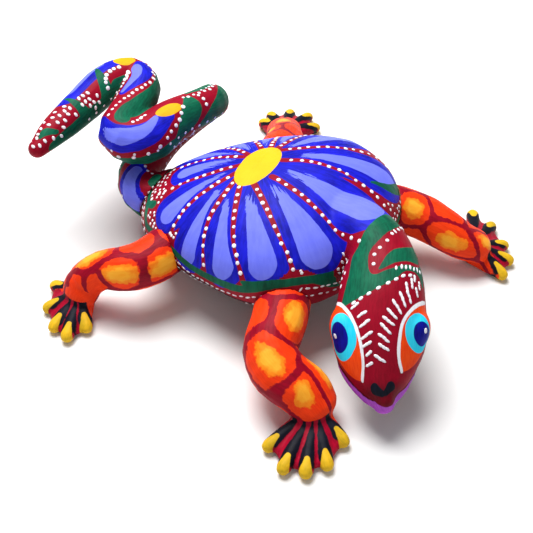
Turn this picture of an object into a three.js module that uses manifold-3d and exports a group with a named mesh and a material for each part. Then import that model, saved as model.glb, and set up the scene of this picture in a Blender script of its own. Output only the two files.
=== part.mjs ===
// A painted lizard figure, carved in copal wood: a body with its neck and head in one block, four legs and a
// winding tail. Each limb is glued to a whittled square peg, and the peg pushes into a socket in the body, so
// that the limbs pull off for packing.
//
// Millimetres, +Z up. The body points along -Y and the head is turned to the creature's right, which is -X.
// The origin is on the table, under the middle of the whole figure.
import * as THREE from "three";
import { ConvexGeometry } from "three/addons/geometries/ConvexGeometry.js";
import { mergeVertices } from "three/addons/utils/BufferGeometryUtils.js";
import Module from "manifold-3d";

const wasm = await Module();
wasm.setup();

// ---------------------------------------------------------------- driving dimensions

const GAP = 0.3; // between pieces that touch

// The torso is a flattened egg: round in front, drawn out towards the tail.
const TORSO = {
  centre: [3, -4], // of its widest cross-section, in X and Y
  front: 37, // reach forwards of that section
  rear: 54, // reach backwards of it
  half: 43.5, // half its width
  rim: 26, // height of its widest line
  top: 49.5,
  belly: 11,
  sway: -14, // how far the rear end bends to the right
  rearDrop: 6, // how far the rim falls towards the tail
};
// Superellipse powers: 2 is an ellipse, more is boxier, less is more pointed.
const SQUARENESS = { front: 2.3, rearLeft: 1.5, rearRight: 2, dome: 2.1, belly: 2.7 };

// Stations along a limb are [x, y, z, half width, half height].
const NECK = [
  [5, -18, 32, 16, 13],
  [2, -36, 36, 12, 12],
  [-3, -47.5, 36, 11.8, 11.5],
  [-10.4, -53.5, 34.5, 14, 11.5],
  [-18, -58.4, 31.5, 15.2, 11.5],
  [-24.7, -62.6, 27, 16.2, 11.2],
  [-30.1, -66.7, 22.5, 15, 10],
  [-34.5, -70.4, 19, 11.4, 8],
  [-38.6, -74.2, 16.5, 6.8, 5.6],
  [-40.6, -76.6, 15.3, 3, 3.4],
];
// The lower jaw stands out under the snout, so that its lip shows from above.
const JAW = [
  [-23, -61, 25.5, 13.4, 4.5],
  [-30, -66.2, 20, 14.3, 4.2],
  [-34.8, -70.4, 16.2, 11.8, 3.4],
  [-39, -74.4, 14.2, 7.6, 2.9],
  [-41.4, -76.9, 13.4, 3.6, 2.6],
];
const EYE = { station: 5, out: 12, up: 1.5, radius: [5.2, 7.4, 7] };

const TAIL = [
  [-9, 38, 23, 11, 10.5],
  [-18, 48, 22.5, 9.2, 9],
  [-13, 58, 24.5, 8.4, 8.4],
  [4, 62, 28, 7.9, 7.9],
  [19, 59.5, 32.5, 7.3, 7.3],
  [26.5, 54, 38, 7.1, 7.1],
  [19, 51, 42.5, 7.1, 7.1],
  [3, 53.3, 43.2, 8.5, 8.5],
  [-12, 55.2, 42.4, 9.5, 9.5],
  [-16, 63.5, 44.4, 8.4, 8.3],
  [-4, 68.5, 45.5, 7.6, 7.6],
  [7.5, 73.5, 46.5, 7.8, 7.8],
  [10, 81.5, 47.5, 7.8, 7.8],
  [0, 84.5, 48.5, 7.6, 7.6],
  [-13, 84, 47, 7.1, 7.1],
  [-30, 83, 45, 5.8, 5.8],
  [-40.5, 82.5, 43, 3.6, 3.6],
];

// A leg's stations run from inside the torso to the ankle. Its toes are the places of their tips on the table.
const LEGS = {
  front_right: {
    stations: [
      [-17, -17, 27, 10.2, 10.2],
      [-30, -25.5, 21.5, 10.2, 10.2],
      [-40, -31, 20.5, 9.9, 9.9],
      [-49.5, -35, 19.3, 9.5, 9.3],
      [-53, -42.5, 16, 10.2, 8.8],
      [-51.6, -50.5, 12.3, 10.2, 7.6],
      [-52, -56.5, 8.6, 9, 6],
    ],
    toes: [[-71.5, -51.6], [-75.5, -60.8], [-72.3, -67.6], [-65.5, -71.3], [-54.5, -70]],
  },
  rear_right: {
    stations: [
      [-17, 17, 27, 9.4, 9.4],
      [-32, 23, 22, 9.4, 9.4],
      [-44, 25.5, 20.5, 9, 9],
      [-51, 30.5, 19.5, 8.4, 8.4],
      [-55, 38.5, 17, 7.4, 7.4],
      [-59.5, 43.5, 12, 7.2, 6.8],
      [-62.5, 44, 8.5, 7.6, 5.8],
    ],
    toes: [[-62.5, 58], [-72, 52], [-77.5, 43.5], [-78, 36.5], [-70.5, 34]],
  },
  front_left: {
    stations: [
      [20, -16, 27, 9.2, 9.2],
      [34, -27.5, 21.5, 9.2, 9.2],
      [40, -37, 18.5, 8.8, 8.8],
      [42, -46, 16, 8.3, 8.3],
      [44.5, -54, 12, 7.8, 7.2],
      [49, -59, 8.4, 8, 5.8],
    ],
    toes: [[69.5, -46.2], [68, -55.5], [61.5, -64.8], [55.5, -70.3], [47.3, -72.5]],
  },
  rear_left: {
    stations: [
      [16, 16, 27, 9.2, 9.2],
      [32, 24, 22, 9.2, 9.2],
      [43.5, 29.5, 17.8, 8.4, 8.4],
      [53, 37, 12.5, 7.2, 7.2],
      [60, 42.5, 8.5, 7.4, 5.8],
    ],
    toes: [[64.5, 57], [70.5, 57.5], [77, 52], [80, 44.5], [76, 37.5]],
  },
};
const TOE = { root: 3.4, tip: 2.6, rootHeight: 5, tipHeight: 2.3 };
const WEB = { reach: 0.86, tip: 2, heel: 5.2 }; // how much of a toe it joins, and its half thicknesses

// Square pegs. A peg lies on the line from a limb's first station to its second, half in the limb.
const LEG_PEG = { side: 5, inTorso: 10, inLimb: 9, play: 0.3, spare: 1 };
const TAIL_PEG = { side: 5, inTorso: 13, inLimb: 5, play: 0.3, spare: 1 };

const COLOURS = { torso: 0x3a3adf, tail: 0x1b7d55, leg: 0xef4a17, peg: 0xd9bd8b };

// ---------------------------------------------------------------- solids

function solidOf(geometry) {
  const bare = geometry.clone();
  bare.deleteAttribute("normal");
  bare.deleteAttribute("uv");
  const merged = mergeVertices(bare, 1e-4);
  return new wasm.Manifold(
    new wasm.Mesh({
      numProp: 3,
      vertProperties: merged.attributes.position.array,
      triVerts: new Uint32Array(merged.index.array),
    }),
  );
}

function joined(solids) {
  return solids.reduce((whole, piece) => whole.add(piece));
}

function meshOf(name, solid, colour) {
  const { vertProperties, triVerts } = solid.getMesh();
  const geometry = new THREE.BufferGeometry()
    .setAttribute("position", new THREE.BufferAttribute(vertProperties, 3))
    .setIndex(new THREE.BufferAttribute(triVerts, 1));
  geometry.computeVertexNormals();
  const material = new THREE.MeshStandardMaterial({ color: colour, roughness: 0.45, metalness: 0 });
  const mesh = new THREE.Mesh(geometry, material);
  mesh.name = name;
  return mesh;
}

// ---------------------------------------------------------------- shapes

const signedPower = (value, power) => Math.sign(value) * Math.abs(value) ** power;

// A unit sphere pushed out to the torso's superellipses.
function torso(grow = 0) {
  const geometry = new THREE.SphereGeometry(1, 44, 26).rotateX(Math.PI / 2);
  const place = geometry.attributes.position;
  const { centre, front, rear, half, rim, top, belly, sway, rearDrop } = TORSO;
  for (let i = 0; i < place.count; i++) {
    const lift = THREE.MathUtils.clamp(place.getZ(i), -1, 1);
    const level = Math.sqrt(1 - lift * lift);
    const angle = Math.atan2(place.getY(i), place.getX(i));
    const [across, along] = [Math.cos(angle), Math.sin(angle)];
    const rearPower = across > 0 ? SQUARENESS.rearLeft : SQUARENESS.rearRight;
    const power = along < 0 ? SQUARENESS.front : rearPower;
    const spread = (Math.abs(across) ** power + Math.abs(along) ** power) ** (-1 / power);
    const profile = lift > 0 ? SQUARENESS.dome : SQUARENESS.belly;
    const reach = level ** (2 / profile);
    const x = (half + grow) * spread * across * reach;
    const y = ((along < 0 ? front : rear) + grow) * spread * along * reach;
    const towardsTail = Math.max(0, y / rear);
    const height = (lift > 0 ? top - rim : rim - belly) + grow;
    place.setXYZ(
      i,
      centre[0] + x + sway * towardsTail ** 2,
      centre[1] + y,
      rim - rearDrop * towardsTail + height * signedPower(lift, 2 / profile),
    );
  }
  return solidOf(geometry);
}

const spineOf = (stations) =>
  new THREE.CatmullRomCurve3(
    stations.map(([x, y, z]) => new THREE.Vector3(x, y, z)),
    false,
    "catmullrom",
  );

// A unit sphere drawn out along the stations: its end rows make round caps and the rest are rings.
function limb(stations, sides, stepsPerStation = 3, capRows = 4, grow = 0) {
  const rings = (stations.length - 1) * stepsPerStation;
  const rows = rings + 2 * capRows;
  const geometry = new THREE.SphereGeometry(1, sides, rows).rotateX(Math.PI / 2);
  const spine = spineOf(stations);
  const sizes = new THREE.CatmullRomCurve3(
    stations.map(([, , , w, h]) => new THREE.Vector3(w + grow, h + grow, 0)),
    false,
    "catmullrom",
  );
  const place = geometry.attributes.position;
  const [up, side, over] = [new THREE.Vector3(0, 0, 1), new THREE.Vector3(), new THREE.Vector3()];
  for (let i = 0; i < place.count; i++) {
    const row = Math.round(THREE.MathUtils.clamp(Math.acos(-place.getZ(i)) / Math.PI, 0, 1) * rows);
    const turn = Math.atan2(place.getY(i), place.getX(i));
    const t = THREE.MathUtils.clamp((row - capRows) / rings, 0, 1);
    const capTurn = (Math.min(row, rows - row, capRows) / capRows) * (Math.PI / 2);
    const [centre, size, along] = [spine.getPoint(t), sizes.getPoint(t), spine.getTangent(t)];
    side.crossVectors(up, along).normalize();
    over.crossVectors(along, side);
    const back = (row < rows / 2 ? -1 : 1) * Math.cos(capTurn) * Math.min(size.x, size.y);
    const wide = size.x * Math.sin(capTurn) * Math.cos(turn);
    const high = size.y * Math.sin(capTurn) * Math.sin(turn);
    centre.addScaledVector(along, back).addScaledVector(side, wide).addScaledVector(over, high);
    place.setXYZ(i, centre.x, centre.y, centre.z);
  }
  return solidOf(geometry);
}

// A ball with three half axes, standing on a place of the neck's curve and looking out to one side.
function eye(side) {
  const [x, y, z] = NECK[EYE.station];
  const ahead = spineOf(NECK).getTangent(EYE.station / (NECK.length - 1)).setZ(0).normalize();
  const outwards = new THREE.Vector3(-ahead.y, ahead.x, 0).multiplyScalar(side * EYE.out);
  const centre = new THREE.Vector3(x, y, z + EYE.up).add(outwards);
  return solidOf(
    new THREE.SphereGeometry(1, 16, 10)
      .scale(...EYE.radius)
      .rotateZ(Math.atan2(ahead.y, ahead.x) - Math.PI / 2)
      .translate(...centre),
  );
}

// A square bar on a limb's peg line, from a depth inside the torso to a depth inside the limb.
function pegBar({ at, along }, side, inwards, outwards) {
  const length = inwards + outwards;
  const bar = new THREE.BoxGeometry(side, side, length).translate(0, 0, (outwards - inwards) / 2);
  const right = new THREE.Vector3(0, 0, 1).cross(along).normalize();
  const over = new THREE.Vector3().crossVectors(along, right);
  bar.applyMatrix4(new THREE.Matrix4().makeBasis(right, over, along).setPosition(at));
  return solidOf(bar);
}

// Where a limb's first stretch leaves the torso, and which way it points.
function pegLine(stations) {
  const [from, to] = stations.slice(0, 2).map(([x, y, z]) => new THREE.Vector3(x, y, z));
  const along = to.clone().sub(from).normalize();
  const at = new THREE.Raycaster(from, along).intersectObject(torsoShell)[0].point;
  return { at, along };
}

// ---------------------------------------------------------------- feet

// The web between two toes: the smallest convex shape round three balls.
function web(heel, tips) {
  const ball = (radius, x, y) =>
    new THREE.SphereGeometry(radius, 10, 6).translate(x, y, radius - 0.3).attributes.position;
  const reached = tips.map(([x, y]) => new THREE.Vector2(x, y).sub(heel).multiplyScalar(WEB.reach).add(heel));
  const balls = [ball(WEB.heel, heel.x, heel.y), ...reached.map(({ x, y }) => ball(WEB.tip, x, y))];
  const points = balls.flatMap((place) =>
    Array.from({ length: place.count }, (_, i) => new THREE.Vector3().fromBufferAttribute(place, i)),
  );
  return solidOf(new ConvexGeometry(points));
}

function foot(ankle, toes) {
  const heel = new THREE.Vector2(ankle[0], ankle[1]);
  const fingers = toes.map(([x, y]) =>
    limb(
      [
        [heel.x, heel.y, TOE.rootHeight, TOE.root, TOE.root],
        [heel.x * 0.4 + x * 0.6, heel.y * 0.4 + y * 0.6, TOE.rootHeight - 1, TOE.root - 0.4, TOE.root - 0.7],
        [x, y, TOE.tipHeight, TOE.tip, TOE.tip],
      ],
      10,
      2,
      2,
    ),
  );
  const webs = toes.slice(1).map((toe, i) => web(heel, [toes[i], toe]));
  return joined([...fingers, ...webs]);
}

// ---------------------------------------------------------------- pieces

const figure = new THREE.Group();
const underTable = solidOf(new THREE.BoxGeometry(300, 300, 20).translate(0, 0, -10));
const torsoShell = meshOf("torso_shell", torso(), COLOURS.torso);
torsoShell.material.side = THREE.BackSide; // the rays that look for its surface start inside it
const blockRoom = torso(GAP).add(limb(NECK, 24, 3, 4, GAP));

// A limb on its peg: the limb is cut to the torso's surface and bored for the peg.
function pegged(name, whole, stations, peg, colour) {
  const line = pegLine(stations);
  const bored = whole
    .subtract(blockRoom)
    .subtract(underTable)
    .subtract(pegBar(line, peg.side + 2 * peg.play, peg.inTorso, peg.inLimb + peg.spare));
  const largest = bored.decompose().reduce((a, b) => (a.volume() > b.volume() ? a : b));
  figure.add(meshOf(name, largest, colour));
  figure.add(meshOf(`${name}_peg`, pegBar(line, peg.side, peg.inTorso, peg.inLimb), COLOURS.peg));
  return pegBar(line, peg.side + 2 * peg.play, peg.inTorso + peg.spare, peg.inLimb);
}

const sockets = Object.entries(LEGS).map(([corner, { stations, toes }]) => {
  const whole = limb(stations, 18).add(foot(stations.at(-1), toes));
  return pegged(`leg_${corner}`, whole, stations, LEG_PEG, COLOURS.leg);
});
sockets.push(pegged("tail", limb(TAIL, 18), TAIL, TAIL_PEG, COLOURS.tail));

const head = joined([limb(NECK, 24), limb(JAW, 20), eye(1), eye(-1)]);
const body = sockets.reduce((block, socket) => block.subtract(socket), torso().add(head));
figure.add(meshOf("body_with_head", body, COLOURS.torso));

// The origin goes on the table under the middle of the whole figure.
const extent = new THREE.Box3().setFromObject(figure);
const middle = extent.getCenter(new THREE.Vector3());
figure.position.set(-middle.x, -middle.y, -extent.min.z);
const placed = new THREE.Group().add(figure);

export default placed;
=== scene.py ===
# %% [markdown]
# # A painted wooden lizard
# This lesson dresses a carved lizard in its paint. The carving comes ready as a
# fixed frame: one solid for the body with its head, one for the tail, one for each
# leg, and the square pegs that hold them together. Blender gives the wood its soft
# hand-rubbed surface, the flower and leaves of the paint, the raised dots and a
# little studio. The scene is in metres, and the patterns are laid out in millimetres.

import math
import random

import bmesh
import bpy
import numpy as np
from mathutils import Matrix, Vector
from mathutils.bvhtree import BVHTree
from mathutils.kdtree import KDTree


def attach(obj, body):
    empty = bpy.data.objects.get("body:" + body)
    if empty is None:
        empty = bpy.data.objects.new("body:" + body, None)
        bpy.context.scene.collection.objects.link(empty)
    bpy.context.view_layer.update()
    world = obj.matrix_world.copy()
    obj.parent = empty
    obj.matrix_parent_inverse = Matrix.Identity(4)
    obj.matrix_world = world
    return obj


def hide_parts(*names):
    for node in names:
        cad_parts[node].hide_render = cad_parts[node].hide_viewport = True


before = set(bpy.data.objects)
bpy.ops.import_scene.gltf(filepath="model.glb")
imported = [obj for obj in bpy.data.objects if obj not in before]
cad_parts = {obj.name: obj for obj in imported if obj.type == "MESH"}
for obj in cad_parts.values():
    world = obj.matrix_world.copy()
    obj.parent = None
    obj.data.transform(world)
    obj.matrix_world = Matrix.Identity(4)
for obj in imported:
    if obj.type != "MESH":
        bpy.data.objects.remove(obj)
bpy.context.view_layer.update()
scene = bpy.context.scene
MM = 0.001
CARVER_ZERO = np.array((-1.0217, -6.0655, 0.0))  # where the carver's measuring point lies
dice = random.Random(7)
print("carved pieces:", sorted(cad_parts))

# %% [markdown]
# ## The camera and the studio
# The figure is small, so a long lens some forty centimetres away keeps its shape
# honest. A camera looks along its own -Z axis, and to_track_quat turns that axis
# towards the target. The background is a plain pale floor under one broad soft
# lamp from above and behind, which leaves the flanks darker than the back, and a
# weak lamp in front that keeps the colours alive in the shade.

# %% Camera, lamps and floor
target = Vector((-0.02302, -0.01807, 0.024))
turn, height = math.radians(-52), math.radians(45)
back = Vector((math.sin(turn) * math.cos(height), -math.cos(turn) * math.cos(height), math.sin(height)))
lens = bpy.data.cameras.new("camera")
lens.lens, lens.sensor_width = 78.8, 36
lens.clip_start, lens.clip_end = 0.01, 20
camera = bpy.data.objects.new("camera", lens)
camera.location = target + back * 0.42
camera.rotation_euler = (-back).to_track_quat("-Z", "Y").to_euler()
scene.collection.objects.link(camera)
scene.camera = camera
scene.view_settings.view_transform = "Standard"


def lamp(name, spot, width, power, colour):
    """A square soft lamp at a spot, looking at the figure."""
    light = bpy.data.lights.new(name, "AREA")
    light.size, light.energy, light.color = width, power, colour
    holder = bpy.data.objects.new(name, light)
    holder.location = spot
    holder.rotation_euler = (target - Vector(spot)).to_track_quat("-Z", "Y").to_euler()
    scene.collection.objects.link(holder)


lamp("lamp_over", (0.12, 0.26, 0.72), 0.5, 10.2, (1.0, 0.99, 0.97))
lamp("lamp_front", (-0.55, -0.55, 0.45), 0.6, 0.9, (0.98, 0.99, 1.0))
sky = bpy.data.worlds.new("studio_air")
scene.world = sky
sky.use_nodes = True
air = sky.node_tree.nodes["Background"]
air.inputs["Color"].default_value = (0.95, 0.97, 1.0, 1)
air.inputs["Strength"].default_value = 0.24
print("camera at", [round(v, 3) for v in camera.location])

# %% [markdown]
# ## Shader arithmetic
# A paint recipe is easier to read as arithmetic than as boxes and wires. A Dab is a
# socket that can be added, subtracted or multiplied; each sign adds its own Math
# node. Recipe is one material, with one method that makes any other node.

# %% A socket that does sums, and a material that makes nodes


class Dab:
    """One value flowing through a recipe: + - and * add Math nodes."""

    def __init__(self, recipe, socket):
        self.recipe, self.socket = recipe, socket

    def _sum(self, operation, first, second):
        return self.recipe.node("ShaderNodeMath", {"operation": operation}, {0: first, 1: second})

    def __add__(self, other):
        return self._sum("ADD", self, other)

    def __radd__(self, other):
        return self._sum("ADD", other, self)

    def __sub__(self, other):
        return self._sum("SUBTRACT", self, other)

    def __rsub__(self, other):
        return self._sum("SUBTRACT", other, self)

    def __mul__(self, other):
        return self._sum("MULTIPLY", self, other)

    def __rmul__(self, other):
        return self._sum("MULTIPLY", other, self)


class Recipe:
    """A material built node by node."""

    def __init__(self, name):
        self.material = bpy.data.materials.new(name)
        self.material.use_nodes = True
        self.tree = self.material.node_tree
        self.tree.nodes.clear()

    def node(self, kind, settings=None, sockets=None, out=0):
        made = self.tree.nodes.new(kind)
        for key, value in (settings or {}).items():
            setattr(made, key, value)
        for key, value in (sockets or {}).items():
            if isinstance(value, Dab):
                self.tree.links.new(value.socket, made.inputs[key])
            else:
                made.inputs[key].default_value = value
        return Dab(self, made.outputs[out]) if made.outputs else None

    def attribute(self, name, out="Fac"):
        return self.node("ShaderNodeAttribute", {"attribute_name": name}, out=out)

    def place(self):
        return self.node("ShaderNodeTexCoord", out="Object")

    def noise(self, where, scale, detail=2.0, rough=0.5):
        return self.node("ShaderNodeTexNoise", {"noise_dimensions": "3D"},
                         {"Vector": where, "Scale": scale, "Detail": detail, "Roughness": rough})

    def stretched(self, where, scale):
        return self.node("ShaderNodeMapping", {}, {"Vector": where, "Scale": scale})

    def step(self, value, low, high):
        """0 below low and 1 above high, with an eased climb between; low may be the larger."""
        return self.node("ShaderNodeMapRange", {"interpolation_type": "SMOOTHSTEP"},
                         {"Value": value, "From Min": low, "From Max": high})

    def blend(self, amount, under, over):
        return self.node("ShaderNodeMix", {"data_type": "RGBA", "blend_type": "MIX"},
                         {0: amount, 6: under, 7: over}, out=2)

    def finish(self, colour, rough, height, depth, coat=0.0):
        bump = self.node("ShaderNodeBump", {}, {"Height": height, "Distance": depth, "Strength": 1.0})
        skin = self.node("ShaderNodeBsdfPrincipled", {}, {
            "Base Color": colour, "Roughness": rough, "Normal": bump, "Coat Weight": coat,
            "Coat Roughness": 0.35, "IOR": 1.4, "Specular IOR Level": 0.12})
        self.node("ShaderNodeOutputMaterial", {}, {"Surface": skin})
        return self.material


def tint(red, green, blue):
    """A paint colour given as it reads on a screen, 0 to 255, in the light's own scale."""
    return tuple(((v / 255 + 0.055) / 1.055) ** 2.4 if v > 10 else v / 255 / 12.92
                 for v in (red, green, blue)) + (1.0,)


print("recipes ready")

# %% [markdown]
# ## The wood's skin
# The carved solids have flat facets. On the real figure the wood is shaved, sanded
# and primed until it is soft to the touch, so each solid is copied, its loose
# triangles are merged, and a voxel remesh lays an even net over it. Smoothing takes
# the facets off and a very shallow cloud pattern leaves the marks of a hand-held
# knife. The even net also gives the paint enough points to be drawn on.

# %% Skins over the carved pieces
KNIFE_DEPTH = 0.00045  # 0.45 mm from the bottom of a knife mark to its top
SAME_POINT = 0.000002  # points nearer than this are one point
knife = bpy.data.textures.new("knife_marks", "CLOUDS")
knife.noise_scale, knife.noise_depth = 0.011, 1


def skin(node, body, slot, mesh_size, rubs):
    """A smooth copy of a carved solid that takes its place; rubs is how often it is sanded."""
    sculpt = bmesh.new()
    sculpt.from_mesh(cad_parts[node].data)
    bmesh.ops.remove_doubles(sculpt, verts=sculpt.verts, dist=SAME_POINT)
    shape = bpy.data.meshes.new(node + "_skin")
    sculpt.to_mesh(shape)
    sculpt.free()
    piece = bpy.data.objects.new(node + "_skin", shape)
    scene.collection.objects.link(piece)
    net = piece.modifiers.new("net", "REMESH")
    net.mode, net.voxel_size, net.use_smooth_shade = "VOXEL", mesh_size, True
    rub = piece.modifiers.new("rub", "SMOOTH")
    rub.factor, rub.iterations = 0.5, rubs
    mark = piece.modifiers.new("mark", "DISPLACE")
    mark.texture, mark.texture_coords = knife, "LOCAL"
    mark.strength, mark.mid_level = KNIFE_DEPTH, 0.5
    graph = bpy.context.evaluated_depsgraph_get()
    done = bpy.data.meshes.new_from_object(piece.evaluated_get(graph))
    piece.modifiers.clear()
    piece.data = done
    done.name = node + "_skin"
    done.materials.clear()
    for face in done.polygons:
        face.use_smooth = True
    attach(piece, body)
    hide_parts(node)
    print(f"{piece.name}: {len(done.polygons)} faces")
    return piece


LEGS = ["leg_front_right", "leg_rear_right", "leg_front_left", "leg_rear_left"]
body_skin = skin("body_with_head", "body", "body_paint", 0.00062, 14)
tail_skin = skin("tail", "tail", "tail_paint", 0.00052, 14)
leg_skins = {name: skin(name, name, "leg_paint", 0.00048, 8) for name in LEGS}

# %% [markdown]
# ## Painter's rulers
# A painter thinks along the piece, not in x, y and z. Along a leg, the tail or the
# neck a ruler measures two things: how far a spot is from the root, and how far it
# is round to the side from the top line. On the domed back it measures a direction
# and a distance from the middle of the flower. All patterns are drawn with these
# rulers, in millimetres.

# %% A soft line, and the ruler along it
LINE_STEPS = 400  # how finely a ruler's middle line is divided


def smooth_line(points, steps, closed=False):
    """A soft line through the given points."""
    knots = np.array(points, float)
    count = len(knots)
    line = []
    for t in np.linspace(0, count if closed else count - 1, steps, endpoint=not closed):
        i = min(int(t), count - 1 if closed else count - 2)
        f = t - i
        if closed:
            a, b, c, d = (knots[(i + k) % count] for k in (-1, 0, 1, 2))
        else:
            b, c = knots[i], knots[i + 1]
            a = knots[i - 1] if i else 2 * b - c
            d = knots[i + 2] if i + 2 < count else 2 * c - b
        line.append(0.5 * (2 * b + (c - a) * f + (2 * a - 5 * b + 4 * c - d) * f * f
                           + (3 * b - a - 3 * c + d) * f ** 3))
    return np.array(line)


def limb_ruler(stations, spots):
    """For each spot: length along, way round from the top line, distance from the middle line,
    angle from the top, and which of the line's steps is nearest."""
    line = smooth_line([s[:3] for s in stations], LINE_STEPS)
    reach = np.concatenate([[0], np.cumsum(np.linalg.norm(np.diff(line, axis=0), axis=1))])
    ahead = np.gradient(line, axis=0)
    ahead /= np.linalg.norm(ahead, axis=1, keepdims=True)
    side = np.cross((0, 0, 1), ahead)
    side /= np.linalg.norm(side, axis=1, keepdims=True)
    over = np.cross(ahead, side)
    rows = []
    for part in np.array_split(spots, max(1, len(spots) // 4000)):
        near = ((part[:, None] - line[None]) ** 2).sum(2).argmin(1)
        off = part - line[near]
        x, y = (off * side[near]).sum(1), (off * over[near]).sum(1)
        along = reach[near] + (off * ahead[near]).sum(1)
        far = np.hypot(x, y)
        rows.append(np.stack([along, np.arctan2(x, y) * far, far, np.arctan2(x, y), near], 1))
    return np.concatenate(rows)


print("a ruler line has", LINE_STEPS, "steps")

# %% A ruler round the flower
FLOWER = np.array((-1.0, 8.0, 49.5))  # the middle of the yellow disc on the back


def flower_ruler(spots):
    """The back rolled out flat round the flower's middle."""
    off = spots - FLOWER
    out = np.sqrt(off[:, 0] ** 2 + off[:, 1] ** 2 + (1.3 * off[:, 2]) ** 2)
    way = np.arctan2(off[:, 1], off[:, 0])
    return np.stack([out * np.cos(way), out * np.sin(way)], 1)


def ray(degrees, out):
    """A spot on the rolled-out back."""
    return np.array((out * math.cos(math.radians(degrees)), out * math.sin(math.radians(degrees))))


def spots_of(piece):
    """A piece's points from the carver's zero, in millimetres."""
    flat = np.empty(len(piece.data.vertices) * 3)
    piece.data.vertices.foreach_get("co", flat)
    return flat.reshape(-1, 3) / MM - CARVER_ZERO


print("the flower's middle is at", FLOWER)

# %% Middle lines of the carving
# x, y, z of the middle line, then half width and half height
NECK = [(5, -18, 32, 16, 13), (2, -36, 36, 12, 12), (-3, -47.5, 36, 11.8, 11.5),
        (-10.4, -53.5, 34.5, 14, 11.5), (-18, -58.4, 31.5, 15.2, 11.5),
        (-24.7, -62.6, 27, 16.2, 11.2), (-30.1, -66.7, 22.5, 15, 10), (-34.5, -70.4, 19, 11.4, 8),
        (-38.6, -74.2, 16.5, 6.8, 5.6), (-40.6, -76.6, 15.3, 3, 3.4)]
JAW = [(-23, -61, 25.5, 13.4, 4.5), (-30, -66.2, 20, 14.3, 4.2), (-34.8, -70.4, 16.2, 11.8, 3.4),
       (-39, -74.4, 14.2, 7.6, 2.9), (-41.4, -76.9, 13.4, 3.6, 2.6)]
TAIL = [(-9, 38, 23), (-18, 48, 22.5), (-13, 58, 24.5), (4, 62, 28), (19, 59.5, 32.5),
        (26.5, 54, 38), (19, 51, 42.5), (3, 53.3, 43.2), (-12, 55.2, 42.4), (-16, 63.5, 44.4),
        (-4, 68.5, 45.5), (7.5, 73.5, 46.5), (10, 81.5, 47.5), (0, 84.5, 48.5), (-13, 84, 47),
        (-30, 83, 45), (-40.5, 82.5, 43)]
LIMBS = {
    "leg_front_right": [(-17, -17, 27), (-30, -25.5, 21.5), (-40, -31, 20.5), (-49.5, -35, 19.3),
                        (-53, -42.5, 16), (-51.6, -50.5, 12.3), (-52, -56.5, 8.6)],
    "leg_rear_right": [(-17, 17, 27), (-32, 23, 22), (-44, 25.5, 20.5), (-51, 30.5, 19.5),
                       (-55, 38.5, 17), (-59.5, 43.5, 12), (-62.5, 44, 8.5)],
    "leg_front_left": [(20, -16, 27), (34, -27.5, 21.5), (40, -37, 18.5), (42, -46, 16),
                       (44.5, -54, 12), (49, -59, 8.4)],
    "leg_rear_left": [(16, 16, 27), (32, 24, 22), (43.5, 29.5, 17.8), (53, 37, 12.5),
                      (60, 42.5, 8.5)],
}
TOES = {
    "leg_front_right": [(-71.5, -51.6), (-75.5, -60.8), (-72.3, -67.6), (-65.5, -71.3), (-54.5, -70)],
    "leg_rear_right": [(-62.5, 58), (-72, 52), (-77.5, 43.5), (-78, 36.5), (-70.5, 34)],
    "leg_front_left": [(69.5, -46.2), (68, -55.5), (61.5, -64.8), (55.5, -70.3), (47.3, -72.5)],
    "leg_rear_left": [(64.5, 57), (70.5, 57.5), (77, 52), (80, 44.5), (76, 37.5)],
}
print("limbs:", len(LIMBS), "toes:", sum(len(toes) for toes in TOES.values()))

# %% Every skin on its rulers


def fullness(stations, ruler):
    """1 on the surface of a limb's own oval tube, less inside it and more outside."""
    sizes = smooth_line([s[3:5] for s in stations], LINE_STEPS)[ruler[:, 4].astype(int)]
    out, angle = ruler[:, 2], ruler[:, 3]
    return np.hypot(out * np.sin(angle) / sizes[:, 0], out * np.cos(angle) / sizes[:, 1])


body_spots, tail_spots = spots_of(body_skin), spots_of(tail_skin)
back_map = flower_ruler(body_spots)
neck_map = limb_ruler(NECK, body_spots)
tail_map = limb_ruler(TAIL, tail_spots)
print("neck ruler runs to", round(float(neck_map[:, 0].max()), 1), "mm")

# %% [markdown]
# ## Brush shapes
# Every painted shape is kept as a distance: at each point of the skin, how far is
# it to the edge of the brush mark, negative inside. A distance is smooth, so the
# material can later put a crisp or ragged edge at zero, finer than the net. A drop
# is a teardrop mark, a stroke follows several points, and a leaf is a closed
# outline. Marks are joined with a minimum and cut from each other with a maximum.

# %% Drops, strokes, ovals and leaves
FAR = 50.0


def drop(map_, start, end, thin, fat):
    """A teardrop from start to the middle of its round end."""
    start, end = np.array(start, float), np.array(end, float)
    span = end - start
    h = np.clip(((map_ - start) @ span) / (span @ span), 0, 1)
    return np.linalg.norm(map_ - start - h[:, None] * span, axis=1) - (thin + (fat - thin) * h)


def stroke(map_, points):
    """A brush line through (along, round, half width) points."""
    line = smooth_line(points, 8 * len(points))
    best = np.full(len(map_), FAR)
    for a, b in zip(line[:-1], line[1:]):
        best = np.minimum(best, drop(map_, a[:2], b[:2], a[2], b[2]))
    return best


def oval(map_, middle, half_long, half_wide, tilt=0.0):
    """An ellipse; half_long lies along the first ruler direction, turned by tilt degrees."""
    c, s = math.cos(math.radians(tilt)), math.sin(math.radians(tilt))
    off = map_ - np.array(middle, float)
    x, y = off[:, 0] * c + off[:, 1] * s, off[:, 1] * c - off[:, 0] * s
    size = np.sqrt((x / half_long) ** 2 + (y / half_wide) ** 2)
    return (size - 1) * min(half_long, half_wide)


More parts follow.
